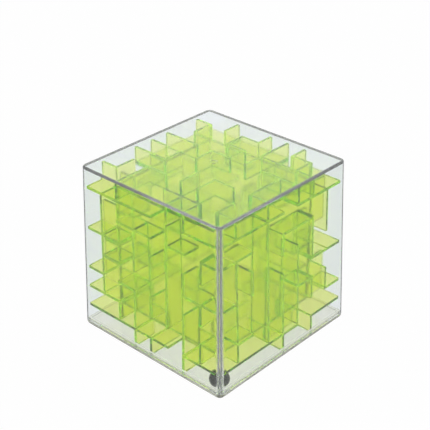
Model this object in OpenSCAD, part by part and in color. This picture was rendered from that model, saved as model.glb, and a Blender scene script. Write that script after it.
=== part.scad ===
// Clear cube puzzle with a maze on all six sides of a hollow core and one loose steel ball.
// Z is up, the origin is on the resting face in the middle of the cube.

/* [Clear case] */
// Outer width and depth of the case at its foot
case_w = 61; // [59:0.5:66]
// Height from the resting face to the top of the case
case_h = 58.5; // [58.5:0.5:62]
// How far each wall leans in per side over the whole height, so that the case leaves its mould
lean = 1.5; // [0.5:0.1:2]
// Thickness of the case's walls and of its ceiling
wall = 1.2; // [0.8:0.1:1.4]
// Radius of the upright edges
corner_r = 2; // [1.6:0.1:2.5]
// Radius of the edges round the top
top_r = 0.6; // [0.3:0.1:1]
// Diameter of the shallow dimple round the moulding gate
gate_d = 2.8; // [2:0.2:4]

/* [Clear base] */
// Thickness of the plate that the case's walls stand on
base_t = 1.8; // [1.6:0.1:1.9]
// Radius round the underside of that plate
foot_r = 1.5; // [0.8:0.1:1.5]
// Height of the lip that fits inside the walls
lip_h = 0.9; // [0.5:0.1:1]
// Thickness of that lip
lip_t = 0.7; // [0.5:0.1:0.8]

/* [Maze] */
// Distance between neighbouring maze lines across the cube
pitch = 7.05; // [6.9:0.05:7.1]
// Distance between neighbouring levels up the cube
level_pitch = 7.2; // [7:0.05:7.2]
// Thickness of the plates and of the walls on them
rib_t = 1; // [0.8:0.1:1.2]
// Clearance between the maze and the inside of the clear case
maze_gap = 0.5; // [0.3:0.05:0.6]

/* [Ball] */
// Diameter of the steel ball
ball_d = 5.4; // [5:0.1:5.5]
// Free height over the ball in the bottom channels
ball_play = 0.2; // [0.1:0.1:0.3]
// Clearance between the ball and the corner it lies in
ball_gap = 0.15; // [0.1:0.05:0.5]

/* [Hidden] */

$fn = 64;
lean_angle = atan(lean / case_h);
ceiling = case_h - wall;
// Thickness of the discs that the rounded hulls are drawn over
disc_t = 0.01;
// The glued seams are this wide
seam = 0.05;
// Clearance round the base's lip
lip_gap = 0.1;
// Radius of the upright edges inside the case
inside_r = 0.1;
// Clearance between neighbouring maze panels
panel_gap = 0.1;
// The side panels' plates enter shallow grooves in the top and bottom plates
groove = 0.4;
// The side panels' walls start this deep in their plate
root = rib_t / 4;
// Lines run from -3 to 3 over the core, and 4 stands for the case's wall
core = 3 * pitch;
core_out = core + rib_t / 2;
core_in = core - rib_t / 2;
wall_line = 4;
levels = 7;
lower_plate = base_t + ball_d + ball_play + rib_t / 2;
upper_plate = level_z(1);
// The ball lies against two walls of the case or against the lip at their foot
ball_r = ball_d / 2;
lip_in = case_w / 2 - wall - lip_gap - lip_t;
by_wall = case_w / 2 - wall - lean * (base_t + ball_r) / case_h - ball_r;
by_lip = lip_in - sqrt(lip_h * (ball_d - lip_h));
ball_at = min(by_wall, by_lip) - ball_gap;
lime = [0.68, 0.84, 0.24, 0.75];
clear = [0.86, 0.89, 0.93, 0.3];

// Maze walls. A shelf is [level, from line, to line]; a post is [line, from level, to level].
front_shelves = [[2, -2, 0], [2, 1, 2], [2, 3, 4], [3, -4, -2], [4, -3, -2], [4, 2, 4],
                 [5, -4, -3], [5, -2, -1], [6, -4, -2]];
front_posts = [[-3, 1, 6], [-2, 6, 7], [-1, 2, 4], [-1, 5, 7], [0, 3, 4], [0, 5, 6],
               [1, 1, 6], [2, 3, 4], [2, 5, 7], [3, 2, 3], [3, 4, 5], [3, 6, 7]];
right_shelves = [[2, -3, -2], [2, 0, 2], [4, 2, 3], [5, 1, 2], [6, -3, -2]];
right_posts = [[-3, 2, 7], [-2, 3, 4], [-1, 1, 7], [0, 2, 3], [0, 4, 7], [1, 3, 7],
               [2, 2, 4], [2, 5, 6], [3, 1, 3], [3, 5, 6]];
back_shelves = [[2, -2, 0], [2, 1, 2], [3, -1, 1], [3, 2, 4], [4, -4, -2], [4, 1, 2],
                [5, -2, -1], [5, 2, 4], [6, -4, -3], [6, -2, 0], [6, 1, 2]];
back_posts = [[-3, 1, 3], [-3, 5, 7], [-2, 3, 5], [-1, 1, 2], [-1, 4, 5], [0, 2, 3],
              [0, 5, 7], [1, 3, 6], [2, 1, 2], [2, 4, 6], [3, 2, 3], [3, 5, 7]];
left_shelves = [[2, -1, 1], [3, -3, -2], [3, 1, 2], [4, -2, 0], [4, 2, 3], [5, -3, -1],
                [5, 1, 3], [6, -1, 1]];
left_posts = [[-3, 1, 2], [-3, 4, 7], [-2, 2, 4], [-2, 6, 7], [-1, 3, 5], [0, 1, 2],
              [0, 4, 6], [1, 2, 3], [1, 5, 7], [2, 1, 4], [2, 6, 7], [3, 2, 6]];

// Walls on the level plates, as [line, from line, to line]. The first list runs along Y, the second along X.
top_along_y = [[-3, -3, -2], [-3, 2, 3], [-2, -4, -2], [-2, -1, 0], [-2, 3, 4], [-1, 0, 1], [-1, 2, 3],
               [0, -2, -1], [0, 3, 4], [1, -4, -3], [1, -2, -1], [1, 1, 4], [2, -4, -3], [2, 3, 4],
               [3, -3, -2], [3, -1, 1], [3, 2, 3]];
top_along_x = [[-3, -4, -3], [-3, 0, 2], [-3, 3, 4], [-2, -2, -1], [-1, -4, -2], [-1, 1, 2], [-1, 3, 4],
               [0, -4, -3], [1, -4, -2], [1, -1, 0], [1, 2, 4], [2, -1, 0], [2, 1, 4],
               [3, -4, -3], [3, -1, 0], [3, 2, 3]];
bottom_along_y = [[-3, -3, -1], [-2, 1, 3], [-1, -4, -3], [-1, 0, 1], [0, -4, -2], [0, 2, 4],
                  [1, -1, 1], [2, -4, -3], [2, 2, 3], [3, 0, 2]];
bottom_along_x = [[-2, -2, -1], [-2, 1, 2], [-1, -4, -3], [0, -2, -1], [0, 2, 4], [1, -4, -2],
                  [2, 2, 4], [3, -3, -2], [3, 0, 1]];

// Gaps in the level plates' rims where the ball changes level, as [side, from line, to line].
// Sides are counted in quarter turns from the front.
top_notches = [[0, 0, 2], [1, 0, 1], [2, -2, -1], [3, 1, 3]];
bottom_notches = [[0, 1, 2], [1, 1, 2], [2, 0, 2], [3, -2, -1]];

function level_z(level) = lower_plate + (levels - level) * level_pitch;
// A wall's end meets the far face of the line it reaches; the last line lies past the case's wall
function line_start(line) = line == -wall_line ? -case_w / 2 : line * pitch - rib_t / 2;
function line_end(line) = line == wall_line ? case_w / 2 : line * pitch + rib_t / 2;

// Cuts its children back to the inside of the leaning walls, less a clearance
module inside_walls(clearance) {
    reach = 2 * case_h;
    difference() {
        children();
        for (side = [0:3])
            rotate([0, 0, side * 90])
                translate([0, -case_w / 2 + wall + clearance, 0])
                    rotate([-lean_angle, 0, 0])
                        translate([-reach, -reach, -reach / 2])
                            cube([2 * reach, reach, 2 * reach]);
    }
}

module rounded_square(width, radius) {
    square([width, width - 2 * radius], center = true);
    square([width - 2 * radius, width], center = true);
    for (x = [-1, 1], y = [-1, 1])
        translate([x, y] * (width / 2 - radius))
            circle(radius);
}

// Four thin discs that round the corners of a square of this half width, with their top at z
module corner_discs(half, radius, z) {
    for (x = [-1, 1], y = [-1, 1])
        translate([x * (half - radius), y * (half - radius), z - disc_t])
            cylinder(r = radius, h = disc_t, $fn = 32);
}

// Outside of the case: leaning faces, rounded upright edges and a rounded top
module case_body() {
    crown = case_w / 2 - lean;
    hull() {
        corner_discs(case_w / 2, corner_r, base_t + 2 * seam);
        for (a = [0:15:90])
            corner_discs(crown - top_r * (1 - cos(a)), corner_r - top_r * (1 - cos(a)),
                         case_h - top_r * (1 - sin(a)));
    }
}

// Plate under the case, with its lower edge rounded
module foot_plate() {
    hull() {
        corner_discs(case_w / 2, corner_r, base_t);
        for (a = [0:15:90])
            corner_discs(case_w / 2 - foot_r * (1 - cos(a)), corner_r - foot_r * (1 - cos(a)),
                         disc_t + foot_r * (1 - sin(a)));
    }
}

// Room inside the case
module case_room() {
    shrink = lean * wall / case_h;
    hull() {
        corner_discs(case_w / 2 - wall, inside_r, seam);
        corner_discs(case_w / 2 - wall - lean + shrink, inside_r, ceiling);
    }
}

module clear_case() {
    dimple = 0.2;
    stub_d = 1.2;
    color(clear)
        difference() {
            case_body();
            case_room();
            // The gate's broken-off stub stands in the middle of its dimple
            translate([0, 0, case_h - dimple])
                difference() {
                    cylinder(d = gate_d, h = wall);
                    cylinder(d = stub_d, h = dimple);
                }
        }
}

module clear_base() {
    lip_w = case_w - 2 * (wall + lip_gap);
    color(clear) {
        foot_plate();
        linear_extrude(base_t + lip_h)
            difference() {
                rounded_square(lip_w, inside_r);
                square(2 * lip_in, center = true);
            }
    }
}

// A square level plate that reaches the walls, with a notch wherever the ball may pass its rim
module level_plate(z, notches) {
    inside_walls(maze_gap)
        difference() {
            translate([-case_w / 2, -case_w / 2, z - rib_t / 2])
                cube([case_w, case_w, rib_t]);
            for (notch = notches)
                rotate([0, 0, notch[0] * 90])
                    translate([line_end(notch[1]), -case_w / 2, z - rib_t])
                        cube([line_start(notch[2]) - line_end(notch[1]), case_w / 2 - core_out, 2 * rib_t]);
        }
}

// Upright walls on a level plate
module level_walls(along_y, along_x, z, height) {
    inside_walls(maze_gap) {
        for (w = along_y)
            translate([w[0] * pitch - rib_t / 2, line_start(w[1]), z])
                cube([rib_t, line_end(w[2]) - line_start(w[1]), height]);
        for (w = along_x)
            translate([line_start(w[1]), w[0] * pitch - rib_t / 2, z])
                cube([line_end(w[2]) - line_start(w[1]), rib_t, height]);
    }
}

// Square groove that locates the four side plates
module plate_groove(z) {
    translate([0, 0, z])
        linear_extrude(groove + rib_t)
            difference() {
                square(2 * (core_out + panel_gap / 2), center = true);
                square(2 * (core_in - panel_gap), center = true);
            }
}

module top_maze_panel() {
    color(lime) {
        difference() {
            level_plate(upper_plate, top_notches);
            plate_groove(upper_plate - 3 * rib_t / 2);
        }
        level_walls(top_along_y, top_along_x, upper_plate, ceiling - maze_gap - upper_plate);
    }
}

module bottom_maze_panel() {
    color(lime) {
        difference() {
            level_plate(lower_plate, bottom_notches);
            plate_groove(lower_plate + rib_t / 2 - groove);
        }
        difference() {
            level_walls(bottom_along_y, bottom_along_x, base_t + seam, lower_plate - base_t - seam);
            lip_relief();
        }
    }
}

// Cuts the feet of the bottom walls back from the base's lip
module lip_relief() {
    linear_extrude(base_t + lip_h + panel_gap)
        difference() {
            square(case_w, center = true);
            square(2 * (lip_in - panel_gap), center = true);
        }
}

// One side of the core with its shelves and posts, drawn facing -Y. half is half the plate's width:
// the ends are mitred, so that four plates close the core.
module side_panel(shelves, posts, half) {
    low = lower_plate + rib_t / 2;
    high = upper_plate - rib_t / 2;
    tongue = groove - panel_gap;
    mitre = [[-half, -core_out], [half, -core_out], [half - rib_t, -core_in], [rib_t - half, -core_in]];
    translate([0, 0, low - tongue])
        linear_extrude(high - low + 2 * tongue)
            polygon(mitre);
    inside_walls(maze_gap)
        intersection() {
            side_walls(shelves, posts);
            translate([0, 0, low + panel_gap])
                linear_extrude(high - low - 2 * panel_gap)
                    polygon(concat(room_side(max_reach(half), half, -1), room_side(max_reach(half), half, 1)));
        }
}

// One side of the room for a side panel's walls: out past the plate's end and down to the walls' root
function room_side(reach, half, side) =
    let (edge = [[reach, -case_w / 2], [reach, -core_out], [half - root, -core_out], [half - root, root - core_out]],
         order = side < 0 ? [0:3] : [3:-1:0])
    [for (i = order) [side * edge[i][0], edge[i][1]]];

// Only the wider plates carry shelves on past their ends, into the cube's upright corners
function max_reach(half) = half < core_out ? half : case_w / 2;

module side_walls(shelves, posts) {
    depth = case_w / 2 - core_out + root;
    for (s = shelves)
        translate([line_start(s[1]), -case_w / 2, level_z(s[0]) - rib_t / 2])
            cube([line_end(s[2]) - line_start(s[1]), depth, rib_t]);
    for (p = posts)
        translate([p[0] * pitch - rib_t / 2, -case_w / 2, level_z(p[2]) - rib_t / 2])
            cube([rib_t, depth, level_z(p[1]) - level_z(p[2]) + rib_t]);
}

module front_maze_panel() {
    color(lime)
        side_panel(front_shelves, front_posts, core_out);
}

module right_maze_panel() {
    color(lime)
        rotate([0, 0, 90])
            side_panel(right_shelves, right_posts, core_out - panel_gap);
}

module back_maze_panel() {
    color(lime)
        rotate([0, 0, 180])
            side_panel(back_shelves, back_posts, core_out);
}

module left_maze_panel() {
    color(lime)
        rotate([0, 0, 270])
            side_panel(left_shelves, left_posts, core_out - panel_gap);
}

module steel_ball() {
    color("silver")
        translate([ball_at, -ball_at, base_t + ball_r])
            sphere(d = ball_d);
}

clear_case();
clear_base();
top_maze_panel();
bottom_maze_panel();
front_maze_panel();
right_maze_panel();
back_maze_panel();
left_maze_panel();
steel_ball();
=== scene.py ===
import bpy
import bmesh
import math
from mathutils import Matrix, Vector

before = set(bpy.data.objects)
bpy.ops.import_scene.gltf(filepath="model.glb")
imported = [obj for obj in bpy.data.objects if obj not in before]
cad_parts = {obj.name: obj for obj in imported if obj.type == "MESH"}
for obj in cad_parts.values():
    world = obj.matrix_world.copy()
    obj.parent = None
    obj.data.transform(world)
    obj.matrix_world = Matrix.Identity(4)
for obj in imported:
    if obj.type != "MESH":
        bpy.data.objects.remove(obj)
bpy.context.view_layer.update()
mm = 0.001


def hexColour(code, level=1.0):  # sRGB hex turned linear, at a lamp's level
    channels = [int(code[i:i + 2], 16) / 255 for i in (1, 3, 5)]
    linear = [c / 12.92 if c <= 0.04045 else ((c + 0.055) / 1.055) ** 2.4 for c in channels]
    return (*(c * level for c in linear), 1)


def addNode(tree, kind, settings=None, links=None):  # settings hold node properties or socket values
    node = tree.nodes.new(kind)
    for name, value in (settings or {}).items():
        if name in node.inputs:
            node.inputs[name].default_value = value
        else:
            setattr(node, name, value)
    for socket, source in (links or {}).items():
        tree.links.new(source, node.inputs[socket])
    return node


def newMaterial(name):
    material = bpy.data.materials.new(name)
    material.use_nodes = True
    material.node_tree.nodes.clear()
    return material, material.node_tree


def addWaves(tree, look):  # the slight unevenness that a mould leaves on plastic
    coords = addNode(tree, "ShaderNodeTexCoord")
    waves = addNode(tree, "ShaderNodeTexNoise",
                    {"Scale": 1 / look["waveSize"], "Detail": look["waveDetail"]},
                    {"Vector": coords.outputs["Object"]})
    return addNode(tree, "ShaderNodeBump",
                   {"Strength": look["waveStrength"], "Distance": look["waveDepth"]},
                   {"Height": waves.outputs["Fac"]})


def addAbsorption(tree, look):
    return addNode(tree, "ShaderNodeVolumeAbsorption",
                   {"Color": hexColour(look["absorbColour"]), "Density": look["absorbDensity"]})


# The case and the plate under it
caseLook = {
    "tint": "#F7FAFB",
    "ior": 1.59,
    "roughness": 0.08,  # softens what lies deep in the maze
    "waveSize": 9 * mm,
    "waveDetail": 2.0,
    "waveStrength": 0.03,
    "waveDepth": 0.1 * mm,
    "absorbColour": "#8C8E96",
    "absorbDensity": 10.0,
}

baseLook = {
    "tint": "#F0F1E4",  # painted reflection: a faint lime tint standing in for the maze's light that the plate picks up
    "ior": 1.59,
    "roughness": 0.1,
    "waveSize": 6 * mm,
    "waveDetail": 2.0,
    "waveStrength": 0.03,
    "waveDepth": 0.1 * mm,
    "absorbColour": "#8E9084",
    "absorbDensity": 6.0,
}


def clearPolystyrene(look, name):
    # Injection moulded crystal polystyrene: glassy, very slightly wavy, a cool grey along its edges
    material, tree = newMaterial(name)
    bump = addWaves(tree, look)
    surface = addNode(tree, "ShaderNodeBsdfPrincipled",
                      {"Base Color": hexColour(look["tint"]), "Roughness": look["roughness"],
                       "IOR": look["ior"], "Transmission Weight": 1.0},
                      {"Normal": bump.outputs["Normal"]})
    absorb = addAbsorption(tree, look)
    addNode(tree, "ShaderNodeOutputMaterial", None,
            {"Surface": surface.outputs["BSDF"], "Volume": absorb.outputs["Volume"]})
    return material


# The six maze panels
limeLook = {
    "skin": "#FFFFF8",
    "paintedReflectionTint": "#FFFF60",  # painted reflection colour: a yellow cast laid over its reflections, taking the blue out of what they mirror
    "ior": 1.3,  # under polystyrene's own, so that a stack of walls stays bright
    "roughness": 0.02,
    "dye": "#E0FF2C",  # what the dye throws back by itself
    "dyeShare": 0.04,
    "dyeForward": 0.5,  # half of that goes on through the wall
    "waveSize": 3 * mm,
    "waveDetail": 3.0,
    "waveStrength": 0.06,
    "waveDepth": 0.1 * mm,
    "absorbColour": "#F9FF32",
    "absorbDensity": 900.0,
}


def limePolystyrene(look):
    # Translucent dyed polystyrene: pale where one wall shows, a deep lime where light runs along it
    material, tree = newMaterial("limePolystyreneMoulded")
    bump = addWaves(tree, look)
    # its reflections carry the painted yellow reflection tint
    clear = addNode(tree, "ShaderNodeBsdfPrincipled",
                    {"Base Color": hexColour(look["skin"]), "Roughness": look["roughness"],
                     "IOR": look["ior"], "Transmission Weight": 1.0,
                     "Specular Tint": hexColour(look["paintedReflectionTint"])},
                    {"Normal": bump.outputs["Normal"]})
    forward = addNode(tree, "ShaderNodeBsdfTranslucent", {"Color": hexColour(look["dye"])})
    back = addNode(tree, "ShaderNodeBsdfDiffuse", {"Color": hexColour(look["dye"])})
    dye = addNode(tree, "ShaderNodeMixShader", {"Fac": 1 - look["dyeForward"]},
                  {1: forward.outputs["BSDF"], 2: back.outputs["BSDF"]})
    surface = addNode(tree, "ShaderNodeMixShader", {"Fac": look["dyeShare"]},
                      {1: clear.outputs["BSDF"], 2: dye.outputs["Shader"]})
    absorb = addAbsorption(tree, look)
    addNode(tree, "ShaderNodeOutputMaterial", None,
            {"Surface": surface.outputs["Shader"], "Volume": absorb.outputs["Volume"]})
    return material


# The ball
ballLook = {
    # painted shade: far darker than steel, standing in for the dark surroundings the ball mirrors
    "colour": "#383B2E",
    "smoothest": 0.06,
    "roughest": 0.19,
    "scuffSize": 0.35 * mm,
    "scuffDetail": 4.0,
}


def bearingSteel(look):
    # Ground and tumbled carbon steel: a soft mirror with fine scuffs, its colour set far darker than
    # steel's as painted shade for the dark surroundings it mirrors
    material, tree = newMaterial("bearingSteelTumbled")
    coords = addNode(tree, "ShaderNodeTexCoord")
    scuffs = addNode(tree, "ShaderNodeTexNoise",
                     {"Scale": 1 / look["scuffSize"], "Detail": look["scuffDetail"]},
                     {"Vector": coords.outputs["Object"]})
    spread = addNode(tree, "ShaderNodeMapRange",
                     {"To Min": look["smoothest"], "To Max": look["roughest"]},
                     {"Value": scuffs.outputs["Fac"]})
    surface = addNode(tree, "ShaderNodeBsdfPrincipled",
                      {"Base Color": hexColour(look["colour"]), "Metallic": 1.0},
                      {"Roughness": spread.outputs["Result"]})
    addNode(tree, "ShaderNodeOutputMaterial", None, {"Surface": surface.outputs["BSDF"]})
    return material


# Each solid comes as loose triangles, so it is welded before its edges are rounded
edgeLook = {
    "weldDistance": 0.002 * mm,
    "radius": 0.12 * mm,  # the moulded edge of a maze wall
    "segments": 2,
    "sharperThan": math.radians(40),
}


def dress(nodeName, material, roundEdges=False):
    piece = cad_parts[nodeName]
    piece.data.materials.clear()
    piece.data.materials.append(material)
    weld = piece.modifiers.new("weld", "WELD")
    weld.merge_threshold = edgeLook["weldDistance"]
    if roundEdges:
        bevel = piece.modifiers.new("edgeRadius", "BEVEL")
        bevel.width = edgeLook["radius"]
        bevel.segments = edgeLook["segments"]
        bevel.limit_method = "ANGLE"
        bevel.angle_limit = edgeLook["sharperThan"]


limePlastic = limePolystyrene(limeLook)
dress("clear_case", clearPolystyrene(caseLook, "clearPolystyreneMoulded"))
dress("clear_base", clearPolystyrene(baseLook, "clearPolystyreneThickPlate"))
for side in ("top", "bottom", "front", "right", "back", "left"):
    dress(side + "_maze_panel", limePlastic, roundEdges=True)
dress("steel_ball", bearingSteel(ballLook))
print("pieces dressed")

# Paper floor, and walls and a softbox that are drawn in the world
studio = {
    "floorSize": 3.0,
    "floorDrop": 0.02 * mm,  # keeps the floor clear of the resting face
    "floorColour": "#787878",
    "glowColour": "#FFFFFF",
    # How much of each kind of view of the floor is plain white paper
    "glow": {"Is Camera Ray": 0.99, "Is Transmission Ray": 1.0, "Is Glossy Ray": 0.02},
    "lightColour": "#FCFDFF",
    # Height of each band over the horizon, and its level: lit walls, then the softbox overhead
    "bands": [(0.0, 1.0), (0.4, 1.0), (0.5, 0.75), (0.55, 0.85), (0.78, 2.0)],
    "roomColour": "#ACAEB0",  # the unlit room on the camera's side
    "roomEdge": (0.1, 0.7),  # cosines between which the lit walls give way to it
}


def makeFloor(look):
    mesh = bpy.data.meshes.new("studioFloor")
    form = bmesh.new()
    bmesh.ops.create_grid(form, x_segments=1, y_segments=1, size=look["floorSize"] / 2)
    bmesh.ops.translate(form, vec=(0, 0, -look["floorDrop"]), verts=form.verts)
    form.to_mesh(mesh)
    form.free()
    floor = bpy.data.objects.new("studioFloor", mesh)
    bpy.context.scene.collection.objects.link(floor)
    # Matt paper sweep: its glow gives the white background, its own grey lights the object
    material, tree = newMaterial("paperSweepMatt")
    path = addNode(tree, "ShaderNodeLightPath")
    glowShare = None
    for ray, level in look["glow"].items():
        part = addNode(tree, "ShaderNodeMath", {"operation": "MULTIPLY"}, {0: path.outputs[ray]})
        part.inputs[1].default_value = level
        if glowShare is not None:
            part = addNode(tree, "ShaderNodeMath", {"operation": "MAXIMUM"},
                           {0: part.outputs["Value"], 1: glowShare})
        glowShare = part.outputs["Value"]
    paper = addNode(tree, "ShaderNodeBsdfDiffuse", {"Color": hexColour(look["floorColour"])})
    glow = addNode(tree, "ShaderNodeEmission", {"Color": hexColour(look["glowColour"]), "Strength": 1.0})
    surface = addNode(tree, "ShaderNodeMixShader", None,
                      {0: glowShare, 1: paper.outputs["BSDF"], 2: glow.outputs["Emission"]})
    addNode(tree, "ShaderNodeOutputMaterial", None, {"Surface": surface.outputs["Shader"]})
    mesh.materials.append(material)


def makeWorld(look, towardsCamera):
    world = bpy.data.worlds.new("studio")
    bpy.context.scene.world = world
    world.use_nodes = True
    tree = world.node_tree
    tree.nodes.clear()
    coords = addNode(tree, "ShaderNodeTexCoord")
    split = addNode(tree, "ShaderNodeSeparateXYZ", None, {"Vector": coords.outputs["Generated"]})
    bands = addNode(tree, "ShaderNodeValToRGB", None, {"Fac": split.outputs["Z"]})
    stops = bands.color_ramp.elements
    while len(stops) < len(look["bands"]):
        stops.new(0.5)
    for stop, (height, level) in zip(stops, look["bands"]):
        stop.position = height
        stop.color = hexColour(look["lightColour"], level)
    facing = addNode(tree, "ShaderNodeVectorMath", {"operation": "DOT_PRODUCT"},
                     {0: coords.outputs["Generated"]})
    facing.inputs[1].default_value = Vector((towardsCamera.x, towardsCamera.y, 0)).normalized()
    edgeStart, edgeEnd = look["roomEdge"]
    near = addNode(tree, "ShaderNodeMapRange",
                   {"interpolation_type": "SMOOTHSTEP", "From Min": edgeStart, "From Max": edgeEnd},
                   {"Value": facing.outputs["Value"]})
    room = addNode(tree, "ShaderNodeMix", {"data_type": "RGBA"},
                   {0: near.outputs["Result"], 6: bands.outputs["Color"]})  # 6 and 7 are its colours
    room.inputs[7].default_value = hexColour(look["roomColour"])
    light = addNode(tree, "ShaderNodeBackground", {"Strength": 1.0}, {"Color": room.outputs[2]})
    addNode(tree, "ShaderNodeOutputWorld", None, {"Surface": light.outputs["Background"]})


# Looks down on the corner where the ball lies
view = {
    "place": (202.696 * mm, -216.948 * mm, 206.933 * mm),
    "turn": (60.6383, 0.3151, 42.8198),  # degrees
    "sensor": 36,  # millimetres, like the focal length
    "focal": 90.2964,
    "nearest": 10 * mm,
}


def makeCamera(look):
    data = bpy.data.cameras.new("camera")
    data.sensor_width = look["sensor"]
    data.lens = look["focal"]
    data.clip_start = look["nearest"]
    camera = bpy.data.objects.new("camera", data)
    bpy.context.scene.collection.objects.link(camera)
    camera.location = look["place"]
    camera.rotation_euler = [math.radians(angle) for angle in look["turn"]]
    bpy.context.scene.camera = camera
    return camera


camera = makeCamera(view)
makeFloor(studio)
makeWorld(studio, camera.rotation_euler.to_matrix().col[2])  # a camera looks down its own -Z
print("studio and camera ready")

# Light crosses dozens of thin walls before it leaves the cube
bounces = {
    "max_bounces": 64,
    "transmission_bounces": 64,
    "glossy_bounces": 64,
    "diffuse_bounces": 16,
    "transparent_max_bounces": 32,
}
scene = bpy.context.scene
scene.view_settings.view_transform = "Standard"
for name, count in bounces.items():
    setattr(scene.cycles, name, count)
print("render settings ready")
